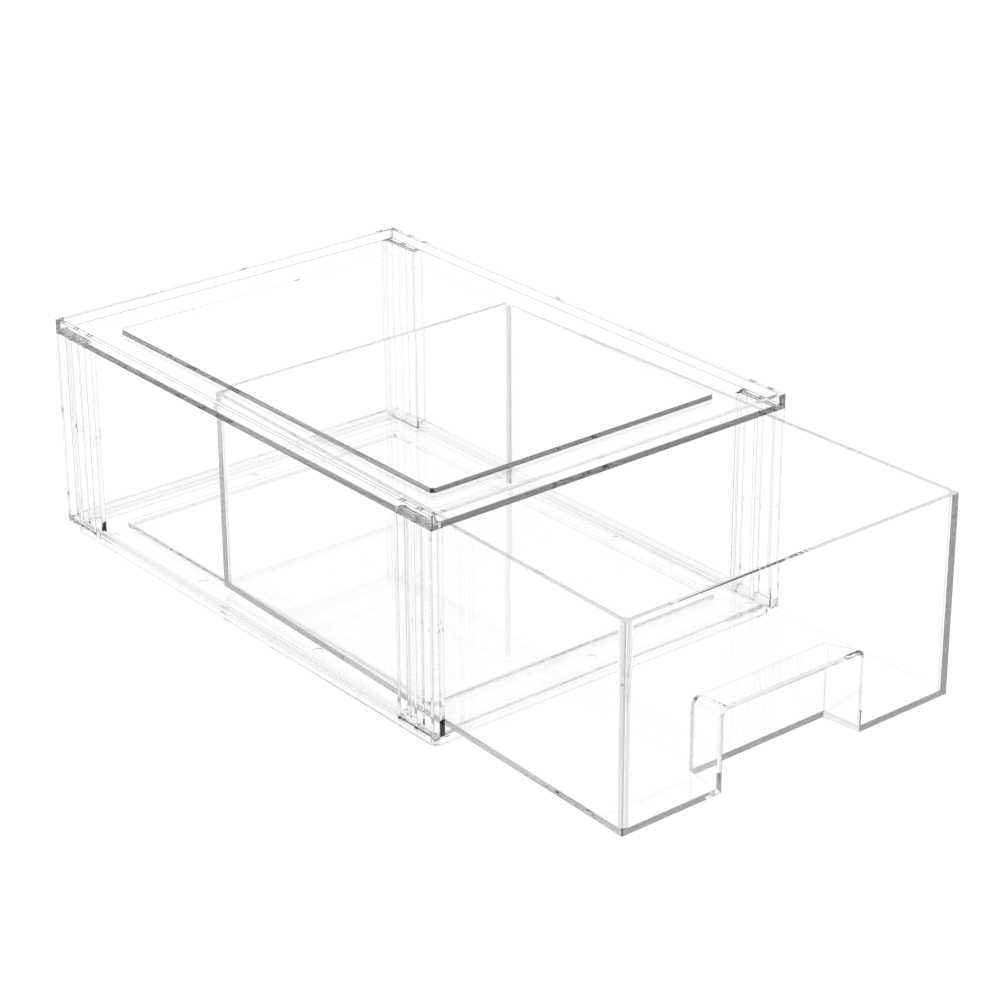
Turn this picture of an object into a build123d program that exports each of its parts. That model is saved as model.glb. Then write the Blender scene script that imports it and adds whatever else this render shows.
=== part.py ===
import os

from build123d import *

# Stackable drawer box in clear moulded plastic: a base panel, a top panel, four
# ribbed corner posts and one drawer. Millimetres, +Z up, front towards -Y.
# The origin is the middle of the footprint, on the surface that the box stands on.

# Frame
frame_width = 210.0
frame_depth = 300.0
edge_radius = 0.5  # outer vertical edges of both panels

# Base panel: a foot that drops into the tray of the box below, and a flange over it
foot_height = 5.1
foot_inset = 2.7
foot_wall = 2.2
foot_corner_radius = 4.5
flange_thickness = 2.2
ledge_width = 4.9  # border on the flange; it overhangs the foot
ledge_thickness = 2.0
base_rim_wall = 2.5
base_rim_height = 1.2  # above the ledge, along the sides and the rear only
deck_width = 172.0  # raised middle that the drawer runs on
deck_depth = 252.6
deck_rise = 2.2
deck_corner_radius = 3.0
deck_wall = 2.2

# Top panel: a shallow tray that takes the foot of the box above
bay_height = 100.3  # from the deck of the base to the underside of the top
top_thickness = 2.2
tray_rim_wall = 2.5
tray_rim_height = 4.9
tray_corner_radius = 1.5
block_width = 167.8  # raised middle of the tray, solid like the sheet around it
block_depth = 248.1
block_rise = 2.3
block_corner_radius = 2.5

# Corner posts: E section, three ribs pointing outwards from a spine
post_length = 26.0
post_depth = 6.1
rib_thickness = 2.0
rib_count = 3
spine_thickness = 2.0
lip_reach = 1.5  # small guide lip on the inner side of the rearmost rib
tenon_inset = 0.5  # the top tenon is this much smaller than the post all round
tenon_relief = 0.1  # the tenon stops this far under the tray floor
socket_clearance = 0.15

# Drawer
drawer_length = 300.0
drawer_side_gap = 1.2  # beside the posts, at the front of the drawer
drawer_narrowing = 7.8  # each side lies this much further in at the rear
drawer_wall = 2.2
drawer_floor = 2.3
drawer_corner_radius = 0.8
drawer_inner_radius = 3.0
drawer_running_gap = 0.3  # over the deck
drawer_head_gap = 0.4  # under the top panel
drawer_front_reveal = 3.3  # the front stands this far out of the frame when shut
drawer_rest_travel = 113.0  # how far the drawer is open in the modelled position

# Finger pull: a hooded recess in the drawer front, open to the front and below
pull_width = 83.0
pull_height = 39.1
pull_depth = 20.0
pull_wall = 2.2
pull_corner_radius = 3.0
pull_side_draft = 2.2  # how much nearer the middle each side is at the back
pull_top_draft = 3.2  # how much lower the ceiling is at the back
pull_edge_radius = 1.8

# Round marks that the moulding tool's pins leave
pin_mark_diameter = 5.0
pin_mark_depth = 0.25
side_mark_x = 92.6
side_mark_y = 47.0
end_mark_y = 135.5
corner_mark_x = 97.0
corner_mark_y = 119.5
inner_mark_x = 92.5
inner_mark_y = 142.3
post_mark_diameter = 2.2
post_mark_depth = 0.2
rib_mark_raise = 2.7  # the marks on the ribs sit this much above those on the spine

# Levels and faces worked out from the sizes above
flange_underside = foot_height - flange_thickness
ledge_top = foot_height + ledge_thickness
base_rim_top = ledge_top + base_rim_height
deck_top = foot_height + deck_rise
top_underside = deck_top + bay_height
tray_floor = top_underside + top_thickness
post_height = top_underside - foot_height
tenon_height = top_thickness - tenon_relief

half_width = frame_width / 2
half_depth = frame_depth / 2
spine_inner = half_width - post_depth
spine_outer = spine_inner + spine_thickness
spine_middle = spine_inner + spine_thickness / 2
rib_middle = half_width - post_depth / 2
rib_pitch = (post_length - rib_thickness) / (rib_count - 1)
post_middle = half_depth - post_length / 2

drawer_front_width = 2 * (spine_inner - drawer_side_gap)
drawer_rear_width = drawer_front_width - 2 * drawer_narrowing
drawer_bottom = deck_top + drawer_running_gap
drawer_height = bay_height - drawer_running_gap - drawer_head_gap
drawer_front = -half_depth - drawer_front_reveal - drawer_rest_travel
drawer_rear = drawer_front + drawer_length
hood_depth = pull_depth + pull_wall

corners = [(side, end) for side in (-1, 1) for end in (-1, 1)]


def post_profile(side, end, inset=0.0):
    """E section of one post in plan; a negative inset grows it into a socket."""
    with Locations((side * spine_middle, end * post_middle)):
        Rectangle(spine_thickness - 2 * inset, post_length - 2 * inset)
    for index in range(rib_count):
        rib_y = end * post_middle + (index - (rib_count - 1) / 2) * rib_pitch
        with Locations((side * rib_middle, rib_y)):
            Rectangle(post_depth - 2 * inset, rib_thickness - 2 * inset)


def lip_profile(side, end, inset=0.0):
    """Guide lip on the inner face of the spine, at the rearmost rib."""
    lip_y = end * post_middle + (post_length - rib_thickness) / 2
    with Locations((side * (spine_inner - lip_reach / 2), lip_y)):
        Rectangle(lip_reach - 2 * inset, rib_thickness - 2 * inset)


def drawer_corners():
    """Plan of the drawer, wider at the front than at the rear."""
    Polyline(
        (-drawer_front_width / 2, drawer_front),
        (drawer_front_width / 2, drawer_front),
        (drawer_rear_width / 2, drawer_rear),
        (-drawer_rear_width / 2, drawer_rear),
        close=True,
    )


def pull_arch(sketch, width, height, drop, corner_radius):
    """Arch of the finger pull; drop is how far it reaches under the drawer."""
    with Locations((0, (height - drop) / 2)):
        Rectangle(width, height + drop)
    fillet(sketch.vertices().group_by(Axis.Y)[-1], radius=corner_radius)


os.makedirs("parts", exist_ok=True)

# Base panel
with BuildPart() as base_panel:
    with BuildSketch():
        RectangleRounded(
            frame_width - 2 * foot_inset, frame_depth - 2 * foot_inset, foot_corner_radius
        )
    extrude(amount=foot_height)
    with BuildSketch(Plane.XY.offset(foot_height)):
        RectangleRounded(frame_width, frame_depth, edge_radius)
        Rectangle(
            frame_width - 2 * ledge_width, frame_depth - 2 * ledge_width, mode=Mode.SUBTRACT
        )
    extrude(amount=ledge_thickness)

    # The rim above the ledge stays open at the front, where the drawer passes
    with BuildSketch(Plane.XY.offset(ledge_top)):
        RectangleRounded(frame_width, frame_depth, edge_radius)
        with Locations((0, -base_rim_wall)):
            Rectangle(frame_width - 2 * base_rim_wall, frame_depth, mode=Mode.SUBTRACT)
    extrude(amount=base_rim_height)
    with BuildSketch(Plane.XY.offset(foot_height)):
        RectangleRounded(deck_width, deck_depth, deck_corner_radius)
    extrude(amount=deck_rise)

    # The underside is hollow: inside the foot, and again under the raised deck
    with BuildSketch():
        RectangleRounded(
            frame_width - 2 * (foot_inset + foot_wall),
            frame_depth - 2 * (foot_inset + foot_wall),
            foot_corner_radius - foot_wall,
        )
    extrude(amount=flange_underside, mode=Mode.SUBTRACT)
    with BuildSketch(Plane.XY.offset(flange_underside)):
        RectangleRounded(
            deck_width - 2 * deck_wall, deck_depth - 2 * deck_wall, deck_corner_radius / 2
        )
    extrude(amount=deck_rise, mode=Mode.SUBTRACT)

    # Each post stands on the flange, in a notch that leaves pads between its ribs
    for side, end in corners:
        with BuildSketch(Plane.XY.offset(foot_height)):
            post_profile(side, end, inset=-socket_clearance)
            lip_profile(side, end, inset=-socket_clearance)
        extrude(amount=base_rim_top, mode=Mode.SUBTRACT)

    mark_spots = [(0, -end_mark_y), (0, end_mark_y)]
    for side, end in corners:
        mark_spots.append((side * side_mark_x, end * side_mark_y))
        mark_spots.append((side * corner_mark_x, end * corner_mark_y))
        mark_spots.append((side * inner_mark_x, end * inner_mark_y))
    with BuildSketch(Plane.XY.offset(foot_height - pin_mark_depth)):
        with Locations(*mark_spots):
            Circle(pin_mark_diameter / 2)
    extrude(amount=pin_mark_depth, mode=Mode.SUBTRACT)

# Top panel
with BuildPart() as top_panel:
    with BuildSketch(Plane.XY.offset(top_underside)):
        RectangleRounded(frame_width, frame_depth, edge_radius)
    extrude(amount=top_thickness + tray_rim_height)
    with BuildSketch(Plane.XY.offset(tray_floor)):
        RectangleRounded(
            frame_width - 2 * tray_rim_wall, frame_depth - 2 * tray_rim_wall, tray_corner_radius
        )
    extrude(amount=tray_rim_height, mode=Mode.SUBTRACT)
    with BuildSketch(Plane.XY.offset(tray_floor)):
        RectangleRounded(block_width, block_depth, block_corner_radius)
    extrude(amount=block_rise)
    for side, end in corners:
        with BuildSketch(Plane.XY.offset(top_underside)):
            post_profile(side, end, inset=tenon_inset - socket_clearance)
        extrude(amount=top_thickness, mode=Mode.SUBTRACT)

# Drawer: an open box with the hood of the finger pull inside its front
with BuildPart() as drawer:
    with BuildSketch(Plane.XY.offset(drawer_bottom)) as drawer_outline:
        with BuildLine():
            drawer_corners()
        make_face()
        fillet(drawer_outline.vertices(), radius=drawer_corner_radius)
    extrude(amount=drawer_height)
    with BuildSketch(Plane.XY.offset(drawer_bottom + drawer_floor)) as drawer_inside:
        with BuildLine():
            drawer_corners()
        make_face()
        offset(amount=-drawer_wall, kind=Kind.INTERSECTION)
        fillet(drawer_inside.vertices(), radius=drawer_inner_radius)
    extrude(amount=drawer_height, mode=Mode.SUBTRACT)

    front_plane = Plane(
        origin=(0, drawer_front, drawer_bottom), x_dir=(-1, 0, 0), z_dir=(0, 1, 0)
    )
    back_width = pull_width - 2 * pull_side_draft
    back_height = pull_height - pull_top_draft
    hood_radius = pull_corner_radius + pull_wall
    with BuildSketch(front_plane) as hood_front:
        pull_arch(hood_front, pull_width + 2 * pull_wall, pull_height + pull_wall, 0, hood_radius)
    with BuildSketch(front_plane.offset(hood_depth)) as hood_back:
        pull_arch(hood_back, back_width + 2 * pull_wall, back_height + pull_wall, 0, hood_radius)
    loft()
    hood_y = drawer_front + hood_depth
    hood_z = drawer_bottom + drawer_floor
    back_edges = drawer.edges().filter_by_position(Axis.Y, hood_y - 0.01, hood_y + 0.01)
    hood_rim = back_edges.filter_by_position(Axis.Z, hood_z + 1, hood_z + pull_height)
    fillet(hood_rim, radius=pull_edge_radius)

    with BuildSketch(front_plane) as pull_front:
        pull_arch(pull_front, pull_width, pull_height, drawer_floor, pull_corner_radius)
    with BuildSketch(front_plane.offset(pull_depth)) as pull_back:
        pull_arch(pull_back, back_width, back_height, drawer_floor, pull_corner_radius)
    loft(mode=Mode.SUBTRACT)

# Corner posts, one at each corner of the bay
post_names = {
    (-1, -1): "front_left_post",
    (1, -1): "front_right_post",
    (-1, 1): "rear_left_post",
    (1, 1): "rear_right_post",
}
posts = []
for side, end in corners:
    with BuildPart() as post:
        with BuildSketch(Plane.XY.offset(foot_height)):
            post_profile(side, end)
            lip_profile(side, end)
        extrude(amount=post_height)
        with BuildSketch(Plane.XY.offset(top_underside)):
            post_profile(side, end, inset=tenon_inset)
        extrude(amount=tenon_height)

        # Pin marks half way up: one on the spine and one on a rib, in both bays
        mark_height = foot_height + post_height / 2
        spine_plane = Plane(
            origin=(side * spine_outer, end * post_middle, mark_height),
            x_dir=(0, 1, 0),
            z_dir=(-side, 0, 0),
        )
        with BuildSketch(spine_plane):
            with Locations((-rib_pitch / 2, 0), (rib_pitch / 2, 0)):
                Circle(post_mark_diameter / 2)
        extrude(amount=post_mark_depth, mode=Mode.SUBTRACT)
        for index in range(rib_count - 1):
            rib_face = end * post_middle - post_length / 2 + index * rib_pitch
            rib_plane = Plane(
                origin=(side * rib_middle, rib_face, mark_height + rib_mark_raise),
                x_dir=(1, 0, 0),
                z_dir=(0, 1, 0),
            )
            with BuildSketch(rib_plane):
                Circle(post_mark_diameter / 2)
            extrude(amount=post_mark_depth, mode=Mode.SUBTRACT)
    post.part.label = post_names[(side, end)]
    posts.append(post.part)

base_panel.part.label = "base_panel"
export_step(base_panel.part, "parts/base_panel.step")
top_panel.part.label = "top_panel"
export_step(top_panel.part, "parts/top_panel.step")
drawer.part.label = "drawer"
export_step(drawer.part, "parts/drawer.step")
for piece in posts:
    export_step(piece, f"parts/{piece.label}.step")
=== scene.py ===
import math

import bpy
from mathutils import Matrix, Vector

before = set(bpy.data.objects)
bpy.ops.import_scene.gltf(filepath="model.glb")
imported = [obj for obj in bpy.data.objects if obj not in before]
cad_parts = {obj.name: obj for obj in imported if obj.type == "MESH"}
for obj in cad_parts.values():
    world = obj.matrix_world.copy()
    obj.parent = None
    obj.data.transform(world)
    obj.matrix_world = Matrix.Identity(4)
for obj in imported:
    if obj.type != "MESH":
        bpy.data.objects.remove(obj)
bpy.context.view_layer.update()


# The base panel is one moulding of clear plastic: a foot, a flange with a rim, and the
# raised deck that the drawer slides on. Light that runs inside the sheet darkens, and
# painted shade darkens the colour along its edges, so its edges look grey or black and
# its faces look almost colourless.
plastic_refraction = 1.52


def between(tree, source, start, end, first, last):
    """Turns a value from start to end into one from first to last."""
    span = tree.nodes.new("ShaderNodeMapRange")
    span.inputs["From Min"].default_value = start
    span.inputs["From Max"].default_value = end
    span.inputs["To Min"].default_value = first
    span.inputs["To Max"].default_value = last
    tree.links.new(source, span.inputs["Value"])
    return span.outputs["Result"]


def darkened(tree, colour, share):
    """A colour times a share, which darkens it with painted shade."""
    product = tree.nodes.new("ShaderNodeVectorMath")
    product.operation = "MULTIPLY"
    tree.links.new(colour, product.inputs[0])
    tree.links.new(share, product.inputs[1])
    return product.outputs["Vector"]


def flow_waves(tree, place, size, depth):
    """A slow swell, left by the plastic's flow, that bends what is seen through it."""
    swell = tree.nodes.new("ShaderNodeTexNoise")
    swell.inputs["Scale"].default_value = 1 / size
    swell.inputs["Detail"].default_value = 1.0
    bump = tree.nodes.new("ShaderNodeBump")
    bump.inputs["Strength"].default_value = 0.25
    bump.inputs["Distance"].default_value = depth
    tree.links.new(place, swell.inputs["Vector"])
    tree.links.new(swell.outputs["Fac"], bump.inputs["Height"])
    return bump.outputs["Normal"]


def haze_patches(tree, place, size):
    """Soft patches where the surface is a little duller."""
    patches = tree.nodes.new("ShaderNodeTexNoise")
    patches.inputs["Scale"].default_value = 1 / size
    patches.inputs["Detail"].default_value = 4.0
    tree.links.new(place, patches.inputs["Vector"])
    return patches.outputs["Fac"]


def patch_colour(tree, patches, tint):
    """White between the patches of haze, with a faint tint in them."""
    blend = tree.nodes.new("ShaderNodeValToRGB")
    plain, hazy = blend.color_ramp.elements
    plain.position = 0.35
    plain.color = (1.0, 1.0, 1.0, 1.0)
    hazy.position = 0.75
    hazy.color = (*tint, 1.0)
    tree.links.new(patches, blend.inputs["Fac"])
    return blend.outputs["Color"]


def painted_edge_shade(tree, surface, radius, shade):
    """The share of colour left near an edge: painted shade for the light that a rounded
    edge bends away.
    """
    rounding = tree.nodes.new("ShaderNodeBevel")
    rounding.samples = 6
    rounding.inputs["Radius"].default_value = radius
    agreement = tree.nodes.new("ShaderNodeVectorMath")
    agreement.operation = "DOT_PRODUCT"
    tree.links.new(rounding.outputs["Normal"], agreement.inputs[0])
    tree.links.new(surface, agreement.inputs[1])
    return between(
        tree, agreement.outputs["Value"], start=0.75, end=0.999, first=shade, last=1.0
    )


def painted_corner_shade(tree, surface, shade):
    """The share of colour left in the rounded upright corners: painted shade for the light
    that they bend away as a thin lens.
    """
    # A normal's X times its Y is zero on a wall and a half in the middle of a corner
    parts = tree.nodes.new("ShaderNodeSeparateXYZ")
    product = tree.nodes.new("ShaderNodeMath")
    product.operation = "MULTIPLY"
    turn = tree.nodes.new("ShaderNodeMath")
    turn.operation = "ABSOLUTE"
    tree.links.new(surface, parts.inputs["Vector"])
    tree.links.new(parts.outputs["X"], product.inputs[0])
    tree.links.new(parts.outputs["Y"], product.inputs[1])
    tree.links.new(product.outputs["Value"], turn.inputs[0])
    return between(
        tree, turn.outputs["Value"], start=0.10, end=0.45, first=1.0, last=shade
    )


def clear_plastic(
    name,
    tint,
    darkening,
    wave_size,
    wave_depth,
    haze,
    haze_size,
    edge_shade_radius,
    edge_shade,
    corner_shade,
):
    """Clear moulded plastic with flow waves, patches of haze, and painted shade on its
    edges and rounded corners.
    """
    material = bpy.data.materials.new(name)
    material.use_nodes = True
    tree = material.node_tree
    shader = tree.nodes["Principled BSDF"]
    shader.inputs["Transmission Weight"].default_value = 1.0
    shader.inputs["IOR"].default_value = plastic_refraction
    place = tree.nodes.new("ShaderNodeTexCoord").outputs["Object"]
    surface = tree.nodes.new("ShaderNodeNewGeometry").outputs["Normal"]

    waves = flow_waves(tree, place, wave_size, wave_depth)
    tree.links.new(waves, shader.inputs["Normal"])
    patches = haze_patches(tree, place, haze_size)
    dullness = between(tree, patches, start=0.45, end=0.75, first=0.0, last=haze)
    tree.links.new(dullness, shader.inputs["Roughness"])

    colour = patch_colour(tree, patches, tint)
    # Painted shade: the colour is darkened along every edge
    painted_shade_on_edges = painted_edge_shade(tree, surface, edge_shade_radius, edge_shade)
    colour = darkened(tree, colour, painted_shade_on_edges)
    # Painted shade: the colour is darkened in the rounded upright corners
    painted_shade_in_corners = painted_corner_shade(tree, surface, corner_shade)
    colour = darkened(tree, colour, painted_shade_in_corners)
    tree.links.new(colour, shader.inputs["Base Color"])

    # Absorption: light that travels inside the sheet comes out darker
    inside = tree.nodes.new("ShaderNodeVolumeAbsorption")
    inside.inputs["Color"].default_value = (0.0, 0.0, 0.0, 1.0)
    inside.inputs["Density"].default_value = darkening
    output = tree.nodes["Material Output"]
    tree.links.new(inside.outputs["Volume"], output.inputs["Volume"])
    return material


def dress(node, material):
    """Gives a CAD node one finish."""
    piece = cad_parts[node]
    piece.data.materials.clear()
    piece.data.materials.append(material)


base_plastic = clear_plastic(
    "clear_base",
    tint=(0.997, 0.998, 0.998),
    darkening=1.5,
    wave_size=0.11,
    wave_depth=0.00002,
    haze=0.01,
    haze_size=0.05,
    edge_shade_radius=0.0009,
    edge_shade=0.35,
    corner_shade=0.8,
)
dress("base_panel", base_plastic)


# The four corner posts are E-section mouldings with three ribs that point outwards.
# Each stands in a notch of the base and ends in a tenon that shows in the top panel.
# They have no rounded upright corners, so no painted corner shade darkens them.
post_plastic = clear_plastic(
    "clear_post",
    tint=(0.997, 0.998, 0.998),
    darkening=4.0,
    wave_size=0.06,
    wave_depth=0.000004,
    haze=0.01,
    haze_size=0.03,
    edge_shade_radius=0.0009,
    edge_shade=0.22,
    corner_shade=1.0,
)
for post in ("front_left_post", "front_right_post", "rear_left_post", "rear_right_post"):
    dress(post, post_plastic)


# The drawer is one moulding too: an open box with the hood of the finger pull inside
# its front. It slides on the deck, so it has a little more haze.
drawer_plastic = clear_plastic(
    "clear_drawer",
    tint=(0.996, 0.998, 0.998),
    darkening=3.0,
    wave_size=0.13,
    wave_depth=0.00002,
    haze=0.015,
    haze_size=0.06,
    edge_shade_radius=0.0008,
    edge_shade=0.55,
    corner_shade=0.55,
)
dress("drawer", drawer_plastic)


# The top panel is a shallow tray that takes the foot of the box above. Its middle is
# raised and solid, and the tenons of the four posts show in its floor as thin marks.
top_plastic = clear_plastic(
    "clear_top",
    tint=(0.997, 0.998, 0.998),
    darkening=4.6,
    wave_size=0.12,
    wave_depth=0.00002,
    haze=0.01,
    haze_size=0.05,
    edge_shade_radius=0.0012,
    edge_shade=0.15,
    corner_shade=0.8,
)
dress("top_panel", top_plastic)


# The floor is a wide pale sweep, set a hair below the foot so that the two don't share
# a surface. It gives off nearly all of its own light, so hardly a shadow shows on it.
floor_width = 12.0
floor_gap = 0.0006
bpy.ops.object.select_all(action="DESELECT")
bpy.ops.mesh.primitive_plane_add(size=floor_width, location=(0.0, 0.0, -floor_gap))
floor = bpy.context.object
floor.name = "floor"
paper = bpy.data.materials.new("pale_floor")
paper.use_nodes = True
paper_shader = paper.node_tree.nodes["Principled BSDF"]
paper_shader.inputs["Base Color"].default_value = (0.10, 0.10, 0.10, 1.0)
paper_shader.inputs["Roughness"].default_value = 0.9
paper_shader.inputs["Emission Color"].default_value = (1.0, 1.0, 1.0, 1.0)
paper_shader.inputs["Emission Strength"].default_value = 0.98
floor.data.materials.append(paper)


# The light is soft and white from all round, and a little weaker from the camera's
# side than from the far side.
far_side = (0.60, 0.73, 0.33)
near_strength = 0.80
far_strength = 1.05
scene = bpy.context.scene
world = bpy.data.worlds.new("studio")
scene.world = world
world.use_nodes = True
room = world.node_tree
sky = room.nodes["Background"]
sky.inputs["Color"].default_value = (1.0, 1.0, 1.0, 1.0)
look = room.nodes.new("ShaderNodeTexCoord")
facing = room.nodes.new("ShaderNodeVectorMath")
facing.operation = "DOT_PRODUCT"
facing.inputs[1].default_value = far_side
fade = room.nodes.new("ShaderNodeMapRange")
fade.interpolation_type = "SMOOTHSTEP"
fade.inputs["From Min"].default_value = -0.10
fade.inputs["From Max"].default_value = 0.35
fade.inputs["To Min"].default_value = near_strength
fade.inputs["To Max"].default_value = far_strength
room.links.new(look.outputs["Generated"], facing.inputs[0])
room.links.new(facing.outputs["Value"], fade.inputs["Value"])
room.links.new(fade.outputs["Result"], sky.inputs["Strength"])


# The camera stands where the photograph was taken from: at the front left, and above.
view_point = Vector((-0.8277, -1.0790, 0.6639))
view_turn = math.radians(-39.31)
view_drop = math.radians(24.72)
view_roll = math.radians(-0.24)
lens_data = bpy.data.cameras.new("camera")
lens_data.lens = 110.0
lens_data.sensor_width = 36.0
camera = bpy.data.objects.new("camera", lens_data)
scene.collection.objects.link(camera)
camera.matrix_world = (
    Matrix.Translation(view_point)
    @ Matrix.Rotation(view_turn, 4, "Z")
    @ Matrix.Rotation(math.radians(90) - view_drop, 4, "X")
    @ Matrix.Rotation(view_roll, 4, "Z")
)
scene.camera = camera
scene.view_settings.view_transform = "Standard"

# Light guided along a sheet reflects dozens of times before it comes out, and a limit
# of 64 left dark stripes on the drawer
most_reflections = 200
scene.cycles.max_bounces = most_reflections
scene.cycles.glossy_bounces = most_reflections
scene.cycles.transmission_bounces = most_reflections
